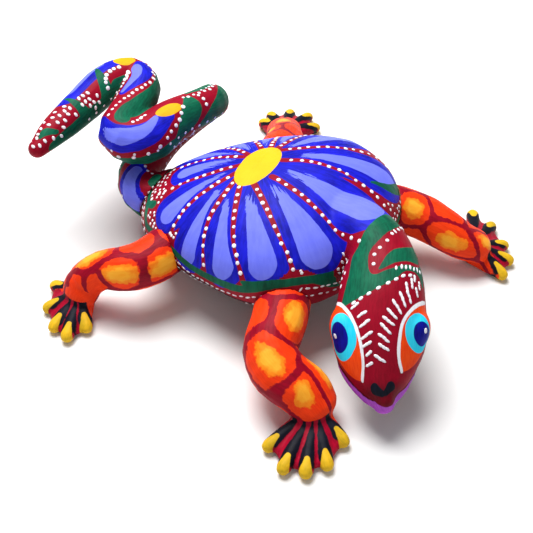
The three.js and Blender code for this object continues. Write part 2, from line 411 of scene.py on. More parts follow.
def leaf(map_, outline, steps=6):
    """A closed outline through the given points."""
    ring = smooth_line(outline, steps * len(outline), closed=True)
    best, inside = np.full(len(map_), FAR), np.zeros(len(map_), bool)
    for a, b in zip(ring, np.roll(ring, -1, axis=0)):
        best = np.minimum(best, drop(map_, a, b, 0, 0))
        crosses = (a[1] > map_[:, 1]) != (b[1] > map_[:, 1])
        rise = b[1] - a[1] if b[1] != a[1] else 1e-9
        inside ^= crosses & (map_[:, 0] < a[0] + (map_[:, 1] - a[1]) / rise * (b[0] - a[0]))
    return np.where(inside, -best, best)


def together(*marks):
    """Several marks joined into one."""
    return np.minimum.reduce(marks)


def keep(piece, **layers):
    """Stores each painted layer on the piece's points."""
    for name, values in layers.items():
        values = np.asarray(values, np.float32)
        kind, field = ("FLOAT", "value") if values.ndim == 1 else ("FLOAT_VECTOR", "vector")
        piece.data.attributes.new(name, kind, "POINT").data.foreach_set(field, values.ravel())
    print(piece.name, "carries", ", ".join(layers))


print("brushes ready")

# %% [markdown]
# ## The flower on the back
# The whole back is one flower: a yellow disc, thirteen lavender petals with broad
# bright-blue rims, and crimson rays between them. Each petal is a drop that starts
# near the disc and ends near the edge of the back. The blue is the same drop made
# fatter, and it is cut by the rays.

# %% Petals and rays
PETALS = [  # direction and distance of the start and of the tip, half width near the tip
    (96, 13.5, 117, 35, 3.6), (137, 15, 149, 44.5, 4.2), (165, 20, 177, 50, 4.1),
    (-177, 21, -159, 50, 4.8), (-154, 18, -139, 49.5, 5.4), (-121, 15, -113, 50, 6.6),
    (-81, 12.8, -84, 51, 6.6), (-40, 17, -50, 55, 5.4), (-8, 17, -16, 54, 5.8),
    (13, 17, 13, 52, 4.4), (30, 16, 32, 50, 4.4), (56, 15, 62, 46, 5.6), (80, 14, 94, 40, 3.4)]
RAYS = [
    [(116, 8.5), (128, 22), (129, 36), (128, 47)], [(147, 10), (154, 29), (160, 48)],
    [(163, 10), (180, 32), (-171, 49)], [(180, 11), (-158, 34), (-149, 50)],
    [(-151, 11), (-131, 32), (-126, 50)], [(-111, 9.5), (-100, 32), (-99, 52)],
    [(-44, 8.7), (-56, 24.5), (-66, 50)], [(-6, 12), (-29, 27), (-34, 52)],
    [(4, 12), (3, 31), (-2, 50)], [(16, 12), (22, 27), (23, 50)], [(33, 12), (42, 26), (44, 48)],
    [(64, 10), (72, 24), (80, 46)], [(78, 10), (96, 22), (107, 40)]]


def ray_line(points):
    """A soft line on the rolled-out back through (direction, distance) points."""
    knots = np.array([ray(*p) for p in points])
    return smooth_line(knots, 6 * len(knots))


def petals(map_, margin, thin, start_in=0.0, over=0.0):
    """All petals; margin makes them wider, over makes them longer at the tip."""
    marks = []
    for way, near, tip_way, tip, half in PETALS:
        start, end = ray(way, near - start_in), ray(tip_way, tip)
        middle = end - (end - start) / np.linalg.norm(end - start) * (half + margin - over)
        marks.append(drop(map_, start, middle, thin, half + margin))
    return together(*marks)


BLUE_RIM = 5.2  # how much wider the blue drop is than the lavender one
lavender_petals = petals(back_map, 0, 0.9)
blue_petals = petals(back_map, BLUE_RIM, 6.5, start_in=6, over=3.0)
rays = FAR
for points in RAYS:
    line = ray_line(points)
    part = np.linspace(0, 1, len(line))
    wide = np.interp(part, (0, 0.3, 0.5, 0.75, 1), (1.3, 1.15, 0.85, 0.55, 1.2))  # narrow before its tip
    for i in range(len(line) - 1):
        rays = np.minimum(rays, drop(back_map, line[i], line[i + 1], wide[i], wide[i + 1]))
blue_petals = np.maximum(blue_petals, -rays)
lavender_petals = np.maximum(lavender_petals, 1.3 - rays)
disc = oval(back_map, (0, 0.8), 13.0, 7.6, tilt=9)
out_from_disc = np.linalg.norm(back_map, axis=1)
print("petals:", len(PETALS), "rays:", len(RAYS))

# %% [markdown]
# ## Leaves, rim and face
# Crimson is the ground of the neck and head. Green leaves lap over the neck, a green
# band runs round the edge of the back, and the face has two almond eyes outlined in
# white, a lilac lip and two black nostrils. The eyes are drawn once, as a distance
# from the middle line of the head, so both sides come out nearly alike.

# %% Leaves on the neck and the band round the back
face_map = neck_map[:, :2]
near_neck = neck_map[:, 2] < 24
on_neck = (neck_map[:, 2] < 17) & (neck_map[:, 0] > 22)
blue_petals = np.where(on_neck, np.maximum(blue_petals, neck_map[:, 0] - 29), blue_petals)
blue_petals = np.where(neck_map[:, 0] > 40, FAR, blue_petals)
lavender_petals = np.maximum(lavender_petals, blue_petals + 1.2)
blue_petals = np.maximum(blue_petals, 19 - body_spots[:, 2])
big_leaf = leaf(face_map, [(23.5, 9), (24.5, 2), (28, -7), (36, -12.5), (45, -14.5), (54, -16.5),
                           (52.4, -9), (49.5, -2), (46.5, 3.5), (43, 8), (43, 14), (46, 18),
                           (38, 18), (26.5, 12.5)])
hollow = leaf(face_map, [(45.3, -3.5), (42, -5.8), (36, -4.5), (31.5, 0.6), (28.3, 8), (26, 15),
                         (30, 19), (37, 17), (40.3, 13), (41, 8), (43, 2.5)])
small_leaf = leaf(face_map, [(43.9, -1.8), (41, -0.8), (37, 2.5), (35, 8), (33, 15), (38, 15),
                             (39.5, 9), (41, 4)])
far_leaves = together(
    stroke(face_map, [(24, 27, 1.5), (34, 25, 3.2), (46, 26, 2.2), (52, 30, 1)]),
    stroke(face_map, [(32, -25, 0.8), (38, -25, 2.4), (45, -26, 1.8), (50, -28, 1)]))
leaves = together(np.maximum(big_leaf, -hollow), small_leaf, far_leaves)
leaves = np.where(near_neck & (neck_map[:, 0] > 20), leaves, FAR)
BAND = [(100, 51), (115, 49.5), (129, 49.5), (140, 53), (161, 49), (179, 50), (197, 51),
        (211, 52.5), (225, 51.5), (243, 52.5), (258, 55)]
BAND_REST = [(292, 59), (305, 61), (320, 62), (340, 60), (0, 58), (20, 57), (45, 56), (62, 54)]
band = together(stroke(back_map, [(*ray(*p), 1.3) for p in BAND]),
                stroke(back_map, [(*ray(*p), 1.3) for p in BAND_REST]),
                stroke(back_map, [(*ray(-58, 42), 0.5), (*ray(-53, 52), 2.0), (*ray(-44, 60), 2.2),
                                  (*ray(-38, 66), 1)]),
                stroke(back_map, [(*ray(-120, 52.5), 0.8), (*ray(-108, 55), 2.8), (*ray(-96, 56), 2.6),
                                  (*ray(-86, 57), 1)]),
                stroke(back_map, [(*ray(-150, 50), 0.5), (*ray(-143, 51.5), 1.8), (*ray(-132, 50.5), 0.6)]),
                drop(back_map, ray(128, 50), ray(133, 46), 1.4, 2.0),
                drop(back_map, ray(95, 52), ray(104, 44), 3.6, 2.2))
band = np.where(on_neck, FAR, band)
green = together(leaves, band)
print("leaves and band drawn")

# %% Eyes, lip and nostrils
FACE_MIDDLE = -0.8  # the head's middle line lies a little off the ruler's zero
off_middle = face_map[:, 1] - FACE_MIDDLE
away = np.abs(off_middle)
eye_map = np.stack([face_map[:, 0] + np.sign(off_middle), away], 1)  # one eye sits a little further back
on_head = (face_map[:, 0] > 44) & (neck_map[:, 2] < 22)
LID = [(51.5, 20.5), (53, 15.5), (56, 10.9), (60, 8.3), (64, 7.0), (68.6, 6.4), (73, 6.6), (76.8, 7.6)]
almond = leaf(eye_map, LID + [(74.5, 13.5), (69, 20), (62.5, 24.5), (56, 24)])
ball_map = eye_map - np.stack([0 * away, np.where(face_map[:, 1] > 0, 0.8, 0)], 1)  # it looks outwards
iris = oval(ball_map, (62.5, 15.5), 7.1, 7.1)
pupil = oval(ball_map, (62.6, 17.2), 4.5, 4.9)
lid = stroke(eye_map, [(along, out, 0.62) for along, out in LID])
nostrils = drop(np.stack([face_map[:, 0], away], 1), (82.7, 0.6), (80.8, 2.9), 0.9, 1.65)
face = [np.where(on_head, mark, FAR) for mark in (almond, iris, pupil, lid, nostrils)]
print("face drawn")

# %% [markdown]
# ## Storing the body's paint
# The layers go onto the skin as attributes. The stroke direction is stored too: on
# the back it runs out from the disc, along the neck it follows the ruler, so streaks
# in the paint lie the way the brush went.

# %% Body layers
# the lower jaw starts where the skin lies nearer to the jaw's own tube than to the head's
jaw_map = limb_ruler([s[:3] for s in JAW], body_spots)
on_jaw = (fullness(JAW, jaw_map) - fullness(NECK, neck_map)) * 9
jaw_lift = jaw_map[:, 2] * np.cos(jaw_map[:, 3])
fore = face_map[:, 0] > 55  # the front of the head, where the mouth is
chin = np.maximum(84.5 - face_map[:, 0], body_spots[:, 2] - 15.6)  # the lip's very tip
lip = np.where(fore, together(np.maximum(on_jaw, -jaw_lift - 1.0), chin), FAR)
crease = np.where(fore & (chin > 0.5), np.abs(on_jaw) - 0.45, FAR)
# painted shade: below 21.5 mm, away from the head, the body is painted maroon for its dark underside
belly = np.where(face_map[:, 0] > 30, FAR, body_spots[:, 2] - 21.5)
# painted shade: the crimson darkens towards the tip of the snout, standing in for the shade there
snout = np.where(fore & (neck_map[:, 2] < 22), 80 - face_map[:, 0], FAR)
# maroon on the lower jaw and along the mouth crease; on the belly and under the neck and head the maroon is
# painted shade
throat = together(np.where(fore, on_jaw, FAR), crease, belly,
                  np.where(face_map[:, 0] > 26, 24 - np.abs(neck_map[:, 3]) * 10, FAR))
way = np.arctan2(back_map[:, 1], back_map[:, 0])
brush = np.where(on_head | (on_neck & (neck_map[:, 0] > 27)), 1.0, 0.0)[:, None]
out_sweep = np.stack([out_from_disc * 0.12, way * 14, 0 * way], 1)
long_sweep = np.stack([face_map[:, 0] * 0.25, face_map[:, 1] * 0.8, 0 * way + 40], 1)
sweep = (1 - brush) * out_sweep + brush * long_sweep
fray = np.clip((27 - out_from_disc) / 9, 0, 1) * (1 - brush[:, 0])
keep(body_skin, blue=blue_petals, lavender=lavender_petals, yellow=disc, green=green, sclera=face[0],
     iris=face[1], pupil=face[2], lid=face[3], black=face[4], lip=lip, crease=crease, throat=throat,
     snout=snout, fray=fray, sweep=sweep)

# %% [markdown]
# ## Bare joint faces
# A limb is painted after it is fitted, so the face that sits against the body stays
# bare wood. Those points are found by asking where the nearest point of the body is:
# it must be very near, and straight in front of the face.

# %% Which points stay unpainted
body_tree = BVHTree.FromObject(body_skin, bpy.context.evaluated_depsgraph_get())
NEAR_ROOT = 32  # the joint face lies in the first 32 mm of the ruler
JOINT_GAP = 1.3


def bare_face(piece, along):
    """Negative on the joint face of a limb; along is the ruler's first direction."""
    bare = np.full(len(along), FAR)
    for i in np.flatnonzero(along < NEAR_ROOT):
        point = piece.data.vertices[int(i)]
        near, _, _, gap = body_tree.find_nearest(point.co)
        facing = point.normal.dot((near - point.co).normalized()) if gap > 1e-6 else 1.0
        bare[i] = max(gap / MM - JOINT_GAP, (0.75 - facing) * 3)
    return bare


print("the body to ask has", len(body_skin.data.polygons), "faces")

# %% [markdown]
# ## The tail
# The tail carries the same flowers in miniature: yellow discs on the crests of the
# bends, lavender drops rimmed with blue, green leaves and spikes, and crimson with
# rows of dots between. Marks seen from above are placed one by one, and the flanks
# and underside repeat them loosely, as a painter fills the hidden side.

# %% Tail layers
round_tail = tail_map[:, :2]


def tail_drops(marks):
    """Teardrops on the tail, each given as start, end, thin and fat half width."""
    return together(*[drop(round_tail, a, b, thin, fat) for a, b, thin, fat in marks])


tail_yellow = together(oval(round_tail, (159.5, -0.6), 3.8, 3.6),
                       oval(round_tail, (99.5, 1.8), 5.3, 2.7, tilt=-12))
tail_lavender = tail_drops([
    ((167, -3.8), (182, -6), 1.2, 3.7), ((152, 0.6), (138, 3.8), 2.3, 0.9),
    ((106, 1.6), (118.5, 6.8), 1.1, 3.4), ((21.5, 0.5), (14.8, 12.5), 1.9, 2.6)])
tail_blue = tail_drops([
    ((163, -2), (186, -4.6), 3.8, 5.8), ((151, -1.5), (138, 3.2), 4.4, 2.1),
    ((102, 3.4), (119, 7.8), 3.0, 5.8), ((22, 0), (14.6, 13), 3.4, 4.2)])
tail_green = together(
    stroke(round_tail, [(121, -1, 2.4), (129, -5, 4.6), (141, -9, 4.4), (151, -9, 1.6)]),
    stroke(round_tail, [(103, 14, 1.4), (97, 11, 3.6), (91, 6, 4), (89.5, 1.5, 2)]),
    stroke(round_tail, [(88.5, 14, 1.6), (81, 12, 4.8), (75, 6, 3.6), (70, 2, 1.4)]),
    stroke(round_tail, [(87, -3, 1), (81, -3.5, 3), (73, -3.5, 3.2), (64, -5, 2)]),
    stroke(round_tail, [(101, 14.5, 1.4), (107, 16.6, 3.6), (115, 20, 4.4), (124, 21.5, 1.8)]),
    stroke(round_tail, [(158, 12, 2.2), (170, 12.5, 3.6), (183, 12.5, 5), (196, 10.5, 4), (205, 7, 1.8)]),
    stroke(round_tail, [(163.5, 7, 0.6), (168.5, 8, 1.7), (173, 11, 2)]),
    drop(round_tail, (174.5, 9), (169, -3.6), 3.4, 0.3),
    drop(round_tail, (187, 9), (187.4, -3.6), 2.8, 0.3),
    stroke(round_tail, [(200.5, 4.5, 0.8), (203.5, 1, 1.5), (206, 0.5, 0.8)]),
    stroke(round_tail, [(28, 4, 1.6), (25, 11, 2.4), (20, 19, 3)]),
    oval(round_tail, (10.6, 0.6), 3.0, 3.6), oval(round_tail, (9.4, 12.4), 3.0, 3.4),
    stroke(round_tail, [(203, -5, 0.8), (196, -8.5, 2), (190, -11, 1)]))
for i, along in enumerate(range(12, 204, 16)):  # the flanks and the underside
    for turn_side in (-1, 1):
        root = (along + 8 * (i % 2), turn_side * (17 + 2 * (i % 3)))
        tip = (root[0] + 11, root[1] + 2.5 * turn_side)
        clear = (round_tail[:, 1] * turn_side < 14) | (tail_map[:, 2] < 4)
        if (i + (turn_side > 0)) % 3:
            bulge = (root[0] + 6, root[1] + turn_side, 3.0)
            mark = stroke(round_tail, [(*root, 1.2), bulge, (*tip, 1.4)])
            tail_green = together(tail_green, np.where(clear, FAR, mark))
        else:
            mark = np.where(clear, FAR, drop(round_tail, root, tip, 1.2, 3.0))
            tail_lavender = together(tail_lavender, mark)
            tail_blue = together(tail_blue, mark - 1.7)
tail_sweep = np.stack([tail_map[:, 0] * 0.25, tail_map[:, 1] * 0.9, 0 * tail_map[:, 0]], 1)
keep(tail_skin, blue=tail_blue, lavender=tail_lavender, yellow=tail_yellow, green=tail_green,
     fray=np.zeros(len(tail_spots)), bare=bare_face(tail_skin, tail_map[:, 0]), sweep=tail_sweep)

# %% [markdown]
# ## The legs
# The legs are painted like a giraffe's hide: orange patches with a crimson net left
# between them, and a ragged golden dab with a pale heart in many of the patches. Each
# patch grows from one seed, and the net is wherever two patches are equally near.
# Rounding the joints of the net keeps it brush-made. The feet turn crimson, each toe
# has a black wedge and each claw is yellow.

# %% Seeds of the patches
SEEDS = {  # along, way round, and 1 for a patch with a golden dab
    "leg_front_right": [
        (28, 6.5, 1), (29, -9.5, 0), (44, -4, 1), (57.5, -6, 1), (57, 10, 1), (43, 20, 1), (15, 0, 0),
        (14, 18, 0), (15, -17, 0), (29, 24, 1), (44, -25, 0), (59, 25, 0), (59, -22, 0)],
    "leg_rear_right": [
        (27, 10.5, 1), (31, -4.5, 0), (38.5, 9.5, 1), (48.5, -1, 1), (49, 14, 0), (20, -15, 1), (15, 2, 0),
        (14, 22, 0), (30, 24, 1), (37, -20, 1), (43, 27, 0), (57, -16, 0), (58, 6, 0)],
    "leg_front_left": [
        (27, -5.5, 1), (23, 10, 0), (39, 5, 0), (45.5, -10.5, 1), (58.5, -4, 1), (53, 8, 0), (32, -20, 0),
        (14, -12, 0), (13, 2, 0), (40, 21, 1), (53, 22, 0), (50, -25, 0), (27, 24, 1)],
    "leg_rear_left": [
        (18, 0, 0), (30, 9, 1), (31, -6, 0), (43, 1, 1), (54, 7, 0), (53, -8, 0), (20, 18, 0), (42, 20, 0),
        (22, -20, 0), (44, -20, 0)],
}
NET = {"leg_front_right": 1.25, "leg_rear_right": 1.2, "leg_front_left": 0.9, "leg_rear_left": 1.0}
print("seeds:", {name: len(seeds) for name, seeds in SEEDS.items()})

# %% Patches, net and dabs
TURN = 9.0  # millimetres on the seed chart for one radian round the leg
ROUNDING = 1.3  # a smaller number rounds the corners of the net more
DAB_SIZE, HEART_INSIDE = 4.3, 1.5
FULL_TURN = 2 * math.pi * TURN


def patches(name, along, angle):
    """The crimson net between the patches of one leg, and the golden dabs in them."""
    here = np.stack([along, angle * TURN], 1)
    seeds, dabs = [], []
    for s, a, dab in SEEDS[name]:  # each seed three times, so that the pattern closes round the leg
        seeds += [(s, a + shift) for shift in (-FULL_TURN, 0, FULL_TURN)]
        dabs += [dab] * 3
    seeds = np.array(seeds, float)
    gaps = np.linalg.norm(here[:, None] - seeds[None], axis=2)
    mine, nearest = gaps.argmin(1), gaps.min(1)
    apart = np.linalg.norm(seeds[mine][:, None] - seeds[None], axis=2)
    apart[apart < 0.01] = np.nan
    walls = (gaps ** 2 - nearest[:, None] ** 2) / (2 * apart)
    wall = -np.log(np.nansum(np.exp(-ROUNDING * walls), axis=1)) / ROUNDING
    off = here - seeds[mine]
    dab = np.hypot(off[:, 0] * 0.85, off[:, 1] * 1.05) - DAB_SIZE
    return wall - NET[name], np.where(np.array(dabs)[mine] > 0, dab, FAR)


print("half width of the net:", NET)

# %% Feet
FOOT_HEIGHT = 9.5


def foot(name, spots):
    """The crimson fan of one foot, the black wedges on its toes, and its claws."""
    heel, toes = np.array(LIMBS[name][-1][:2]), np.array(TOES[name])
    ahead = toes.mean(0) - heel
    ahead /= np.linalg.norm(ahead)
    flat, low = spots[:, :2], spots[:, 2] < FOOT_HEIGHT
    fan = 3.0 - (flat - heel) @ ahead
    black, claw = np.full(len(flat), FAR), np.full(len(flat), FAR)
    for toe in toes:
        arm = toe - heel
        unit = arm / np.linalg.norm(arm)
        wedge = [(*(heel + arm * 0.32), 0.5), (*(heel + arm * 0.6), 1.7), (*(toe - unit * 2), 2.7)]
        black = together(black, stroke(flat, wedge))
        claw = together(claw, drop(flat, toe - unit * 3.2, toe + unit * 1.2, 1.0, 2.6))
    return [np.where(low, mark, FAR) for mark in (fan, black, claw)]


print("feet end", FOOT_HEIGHT, "mm above the floor")

# %% Leg layers
for leg in LEGS:
    leg_spots = spots_of(leg_skins[leg])
    leg_map = limb_ruler(LIMBS[leg], leg_spots)
    along_leg, round_leg = leg_map[:, 0], leg_map[:, 3]
    net, dab = patches(leg, along_leg, round_leg)
    fan, black, claw = foot(leg, leg_spots)
    keep(leg_skins[leg], net=net, dab=dab, heart=dab + HEART_INSIDE, fan=fan, black=black, claw=claw,
         bare=bare_face(leg_skins[leg], along_leg),
         sweep=np.stack([along_leg * 0.3, round_leg * 8, 0 * along_leg], 1))

# %% [markdown]
# ## The paints
# Acrylic paint on sanded copal wood dries to a soft sheen. Each recipe starts with
# the ground colour and lays the other colours over it in the painter's order. A mask
# is the stored distance with a little noise added, so every edge wavers as a brush
# does. Each colour has a lighter and a darker tone mixed by streaks that follow the
# brush, and the bump adds the ridge at each paint edge, bristle marks and wood grain.

# %% Paint recipes
PALETTE = {name: (tint(*usual), tint(*streak)) for name, usual, streak in (
    # the darker copy of crimson used at the snout is painted shade
    ("crimson", (154, 5, 36), (116, 3, 25)), ("shade_crimson", (112, 4, 26), (88, 4, 20)),
    ("maroon", (70, 5, 20), (36, 3, 10)), ("cherry", (176, 8, 46), (140, 5, 34)),
    ("blue", (26, 30, 208), (8, 8, 112)), ("lavender", (104, 114, 238), (118, 128, 245)),
    ("yellow", (238, 188, 34), (230, 174, 26)), ("marigold", (232, 172, 18), (216, 150, 16)),
    ("green", (12, 106, 76), (6, 60, 46)), ("orange", (246, 64, 16), (216, 40, 10)),
    ("gold", (248, 140, 28), (242, 112, 20)), ("straw", (252, 176, 52), (248, 158, 36)),
    ("claw", (232, 182, 34), (178, 152, 34)), ("sclera", (246, 78, 18), (226, 52, 12)),
    ("cyan", (24, 206, 240), (70, 216, 240)), ("navy", (12, 18, 150), (5, 6, 84)),
    ("lilac", (178, 84, 196), (140, 56, 168)), ("white", (248, 248, 252), (222, 222, 236)),
    ("black", (11, 12, 22), (20, 24, 40)), ("wood", (222, 184, 132), (190, 146, 96)))}
FRAY = 9.0  # how far a petal's inner end breaks up into brush hairs, in mm
PAINT_DEPTH = 0.00009


def painted(name, ground, layers):
    """A recipe: ground colour, then (attribute, colour, waver in mm, edge softness in mm)."""
    r = Recipe(name)
    place = r.place()
    sweep = r.attribute("sweep", "Vector")
    streak = r.noise(r.stretched(sweep, (1.0, 1.6, 1.0)), 1.0, 4.0, 0.62)
    streaks = r.step(streak, 0.38, 0.66)
    waver = r.noise(place, 330.0, 3.0, 0.6) - 0.5
    blotchy = r.step(r.noise(place, 120.0, 3.0, 0.55), 0.35, 0.7)
    grain = r.noise(r.stretched(place, (1.0, 4.0, 1.0)), 500.0, 4.0, 0.7)
    speck = r.noise(place, 1800.0, 2.0, 0.6)
    mixed = streaks * 0.45 + blotchy * 0.4
    colour = r.blend(mixed * 0.8, *PALETTE[ground])
    ridge = None
    for attribute, paint, raggedness, soft in layers:
        edge = r.attribute(attribute) + waver * raggedness
        if attribute == "lavender":
            edge = edge + r.attribute("fray") * (streak - 0.5) * FRAY
        mask = r.step(edge, soft, -soft)
        colour = r.blend(mask, colour, r.blend(mixed, *PALETTE[paint]))
        ridge = mask if ridge is None else ridge + mask
    height = ridge * 0.35 + streak * 0.5 + grain * 0.35 + speck * 0.12
    rough = 0.44 + grain * 0.16 + streaks * 0.05
    return r.finish(colour, rough, height, PAINT_DEPTH, coat=0.03)


# the snout layer's darker crimson is painted shade
body_paint = painted("body_enamel", "crimson", [
    # the maroon layer's part on the belly and under the neck and head is painted shade
    ("snout", "shade_crimson", 1.0, 2.6), ("throat", "maroon", 0.9, 0.5), ("blue", "blue", 0.5, 0.12),
    ("lavender", "lavender", 0.5, 0.12), ("yellow", "yellow", 0.5, 0.1), ("green", "green", 0.6, 0.12),
    ("lip", "lilac", 0.4, 0.2), ("crease", "maroon", 0.3, 0.25), ("sclera", "sclera", 0.4, 0.12),
    ("iris", "cyan", 0.3, 0.12), ("pupil", "navy", 0.3, 0.12), ("lid", "white", 0.5, 0.1),
    ("black", "black", 0.4, 0.15)])
tail_paint = painted("tail_enamel", "crimson", [
    ("blue", "blue", 0.5, 0.12), ("lavender", "lavender", 0.5, 0.12), ("green", "green", 0.6, 0.12),
    ("yellow", "marigold", 0.5, 0.1), ("bare", "wood", 0.5, 0.3)])
leg_paint = painted("leg_enamel", "orange", [
    ("dab", "gold", 4.4, 0.4), ("heart", "straw", 4.4, 0.9), ("net", "crimson", 2.3, 0.2),
    ("fan", "cherry", 3.5, 0.25), ("black", "black", 1.2, 0.2), ("claw", "claw", 0.7, 0.15),
    ("bare", "wood", 0.5, 0.3)])
body_skin.data.materials.append(body_paint)
tail_skin.data.materials.append(tail_paint)
for piece in leg_skins.values():
    piece.data.materials.append(leg_paint)
print("painted", 2 + len(leg_skins), "skins")

# %% [markdown]
# ## Raised dots and dashes
# The white marks are drops of thick paint from the end of a stick, so they stand up
# from the surface. Each is a low dome with only a few dozen faces. Its place is given
# with a painter's ruler; the nearest points of the skin tell where it sits and which
# way is out. All marks on one carved piece are one object.

# %% Clay and white paint
r = Recipe("dot_white")
place = r.place()
thick = r.noise(place, 900.0, 3.0, 0.6)
white_paint = r.finish(r.blend(r.step(thick, 0.35, 0.75), *PALETTE["white"]), 0.34 + thick * 0.12,
                       thick, 0.00005, coat=0.15)


class Clay:
    """Domes gathered in small handfuls, because an operator slows down on a big mesh."""

    def __init__(self):
        self.handfuls, self.count = [], 0

    def dome(self, matrix):
        if self.count % 60 == 0:
            self.handfuls.append(bmesh.new())
        self.count += 1
        bmesh.ops.create_uvsphere(self.handfuls[-1], u_segments=10, v_segments=5, radius=1, matrix=matrix)

    def mesh(self, name):
        whole, shape = bmesh.new(), bpy.data.meshes.new(name)
        for handful in self.handfuls:
            handful.to_mesh(shape)
            whole.from_mesh(shape)
            handful.free()
        whole.to_mesh(shape)
        whole.free()
        return shape


def dots_piece(name, body, clay):
    """Hardens the clay into one white piece that moves with its body."""
    shape = clay.mesh(name)
    for face in shape.polygons:
        face.use_smooth = True
    piece = bpy.data.objects.new(name, shape)
    scene.collection.objects.link(piece)
    shape.materials.append(white_paint)
    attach(piece, body)
    print(name, len(shape.polygons), "faces")


print("clay ready, with", white_paint.name)

# %% A maker of dots
POINTS_UNDER = 4  # how many points of the skin place one dot


class Dotter:
    """Lays low domes on a skin, at places given on one of its rulers."""

    def __init__(self, piece, ruler, where, miss=1.2):
        self.miss = miss  # a mark further than this from any point of the skin is left out
        self.index = np.flatnonzero(where)
        self.tree = KDTree(len(self.index))
        for k, i in enumerate(self.index):
            self.tree.insert((ruler[i, 0], ruler[i, 1], 0), k)
        self.tree.balance()
        self.piece = piece

    def spot(self, u, v):
        found = self.tree.find_n((u, v, 0), POINTS_UNDER)
        place, out, total = Vector(), Vector(), 0.0
        for _, k, gap in found:
            weight = 1 / (gap + 0.05)
            point = self.piece.data.vertices[int(self.index[k])]
            place, out, total = place + point.co * weight, out + point.normal * weight, total + weight
        return place / total, out.normalized(), found[0][2]

    def mark(self, clay, u, v, long=0.8, wide=None, lean=0.0, tall=0.2):
        """One dome; lean turns its long side from the ruler's first direction, in degrees."""
        place, out, gap = self.spot(u, v)
        if gap > self.miss:
            return
        step = (math.cos(math.radians(lean)), math.sin(math.radians(lean)))
        ahead = self.spot(u + step[0], v + step[1])[0] - self.spot(u - step[0], v - step[1])[0]
        ahead = ahead - out * ahead.dot(out)
        if ahead.length < 0.0002:
            ahead = out.orthogonal()
        ahead.normalize()
        side = out.cross(ahead)
        wide = long if wide is None else wide
        turn_ = Matrix((ahead, side, out)).transposed().to_4x4()
        size = Matrix.Diagonal((long * MM, wide * MM, tall * MM, 1))
        clay.dome(Matrix.Translation(place) @ turn_ @ size)


print("a dot is placed by", POINTS_UNDER, "points of the skin")

# %% Dashes and rows


def dash(dotter, clay, u, v, long, wide, lean):
    """A long mark made of three overlapping domes that follow the skin."""
    step = (math.cos(math.radians(lean)) * long * 0.3, math.sin(math.radians(lean)) * long * 0.3)
    for k, fat in ((-1, 0.9), (0, 1.0), (1, 1.05)):
        dotter.mark(clay, u + k * step[0] + dice.gauss(0, 0.06), v + k * step[1] + dice.gauss(0, 0.06),
                    long * 0.27, wide * fat, lean + dice.gauss(0, 4))


def row(dotter, clay, points, gap, long, wide=None, lean=None, start=0.0, jitter=0.12):
    """Dots along a line, one every gap millimetres; without a lean they lie along the line."""
    line = smooth_line(points, 12 * len(points))
    reach = np.concatenate([[0], np.cumsum(np.linalg.norm(np.diff(line, axis=0), axis=1))])
    for d in np.arange(start + gap / 2, reach[-1], gap):
        u, v = np.interp(d, reach, line[:, 0]), np.interp(d, reach, line[:, 1])
        u2, v2 = np.interp(d + 0.3, reach, line[:, 0]), np.interp(d + 0.3, reach, line[:, 1])
        way_ = math.degrees(math.atan2(v2 - v, u2 - u)) if lean is None else lean
        size = long * dice.uniform(0.86, 1.14)
        dotter.mark(clay, u + dice.gauss(0, jitter), v + dice.gauss(0, jitter), size,
                    None if wide is None else wide * dice.uniform(0.88, 1.12), way_ + dice.gauss(0, 6))


print("dotter ready")

# %% Dots on the back
LOWEST_DOT = 17  # below this height the back's ruler folds under the belly
clay = Clay()
upper_back = ((neck_map[:, 0] < 30) | (neck_map[:, 2] > 16)) & (body_spots[:, 2] > LOWEST_DOT)
on_back = Dotter(body_skin, back_map, upper_back)


def beside(stripe, shift):
    """The same line round the back, moved outwards by so many millimetres."""
    return [tuple(ray(way_, out + shift)) for way_, out in stripe]


for points in RAYS:
    row(on_back, clay, [tuple(ray(*p)) for p in points], 3.5, 0.8, start=1.6, jitter=0.2)
for stripe in (BAND, BAND_REST):
    row(on_back, clay, beside(stripe, 3.0), 3.1, 0.95, 0.42)
    row(on_back, clay, beside(stripe, 5.4), 3.6, 0.85, 0.4, start=1)
# the crimson corners between the petals, the band and the rays are filled with small dots
corners = (blue_petals > 0.7) & (green > 0.7) & (rays > -0.2) & (out_from_disc > 38)
in_corners = Dotter(body_skin, back_map, corners & upper_back, 0.6)
for i, inward in enumerate((1.8, 4.2, 6.6, 9.0)):
    row(in_corners, clay, beside(BAND, -inward), 2.5, 0.6, start=0.8 * i, jitter=0.3)
    row(in_corners, clay, beside(BAND_REST, -inward), 3.0, 0.6, start=0.9 * i, jitter=0.3)
print("back dotted with", clay.count, "domes")

# %% Dots and dashes on the neck and face
on_face = Dotter(body_skin, face_map, (neck_map[:, 0] > 20) & (neck_map[:, 2] < 22))
for u, v in [(53.5, -10.5), (52.2, -7.6), (51, -4.8), (49.4, -1.6), (47.8, 1.6), (46.2, 4.2), (44.8, 6.8),
             (44.2, 9.6)]:
    on_face.mark(clay, u, v, 1.0, 0.62, lean=120)
for u, v in [(29.5, 7), (28.4, 9.6), (31.6, 3.2), (33.8, 0.8), (36.2, -1.8), (38.8, -3.4), (41.8, -3.8)]:
    on_face.mark(clay, u, v, 0.72)
for u, v in [(27.6, 12), (27.2, 14.4), (30.5, 5)]:
    on_face.mark(clay, u, v, 1.0, 0.5, lean=30)
row(on_face, clay, [(42.6, 3), (42, 7), (41.4, 12), (41, 16)], 1.9, 1.0, 0.45, lean=0)
for u, v in [(24.5, -18), (27.5, -19), (30.5, -20), (26, -22.5), (29.5, -24), (33, -21), (36.5, -20.5),
             (40, -20), (43.5, -19.6), (47, -19.4), (33, -17.6), (37.5, -17), (42, -17.3)]:
    on_face.mark(clay, u, v, 0.85, 0.55, lean=dice.uniform(-25, 25))
row(on_face, clay, [(26, 20.5), (36, 20), (46, 21.5)], 3.0, 1.0, 0.5)
row(on_face, clay, [(28, 30), (38, 30.5), (48, 32)], 3.0, 0.8, 0.5)
row(on_face, clay, [(28, -30), (38, -30), (48, -32)], 3.0, 0.8, 0.5)
